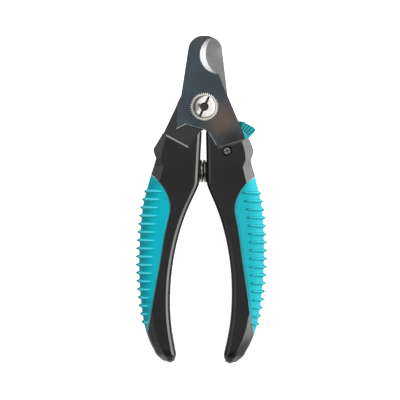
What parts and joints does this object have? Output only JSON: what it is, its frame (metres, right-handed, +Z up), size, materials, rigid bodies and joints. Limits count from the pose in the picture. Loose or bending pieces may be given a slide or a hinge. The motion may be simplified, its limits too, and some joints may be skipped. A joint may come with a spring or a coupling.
{
  "type": "scissor nail clipper",
  "caption": "Scissor-type nail clipper for pets: two steel blades on an adjustable pivot, sprung handles with soft ribbed grips and a lock lever.",
  "frame": {"origin": "bottom centre of the bounding box: the plane that the flat backs of the handles rest on", "axes": "+Z up from the resting plane through the tool's thickness, +Y towards the blade tips, +X towards the handle with the lock lever"},
  "size_m": [0.0646, 0.16, 0.016],
  "materials": {
    "blade_steel": "dark polished stainless steel with a fine lengthwise grain",
    "bolt_steel": "turned zinc-plated steel",
    "washer_chrome": "nickel-plated, toothed rim",
    "nut_chrome": "nickel-plated, softly polished",
    "black_plastic": "fine satin moulded plastic",
    "teal_rubber": "soft moulded rubber, satin",
    "teal_plastic": "moulded plastic, satin",
    "screw_steel": "plated steel",
    "brass_insert": "turned",
    "spring_steel": "drawn spring wire, lightly oiled"
  },
  "bodies": {
    "rear_half": {"rear_blade": "blade_steel", "pivot_bolt": "bolt_steel", "knurled_washer": "washer_chrome", "pivot_nut": "nut_chrome", "left_handle_core": "black_plastic", "left_grip": "teal_rubber", "return_spring": "spring_steel"},
    "front_half": {"front_blade": "blade_steel", "right_handle_core": "black_plastic", "right_grip": "teal_rubber", "lever_screw": "screw_steel", "lever_insert": "brass_insert", "lever_washer": "spring_steel"},
    "lever": {"lock_lever": "teal_plastic"}
  },
  "joints": [
    {"name": "blade_pivot", "type": "hinge", "parent": "rear_half", "child": "front_half", "pos_m": [0, 0.0451, 0.008], "axis": [0, 0, 1], "range_deg": [0, 22], "deforming": ["return_spring"]},
    {"name": "lever_pivot", "type": "hinge", "parent": "front_half", "child": "lever", "pos_m": [0.0115, 0.0237, 0.0064], "axis": [0, 0, 1], "range_deg": [0, 18]}
  ]
}
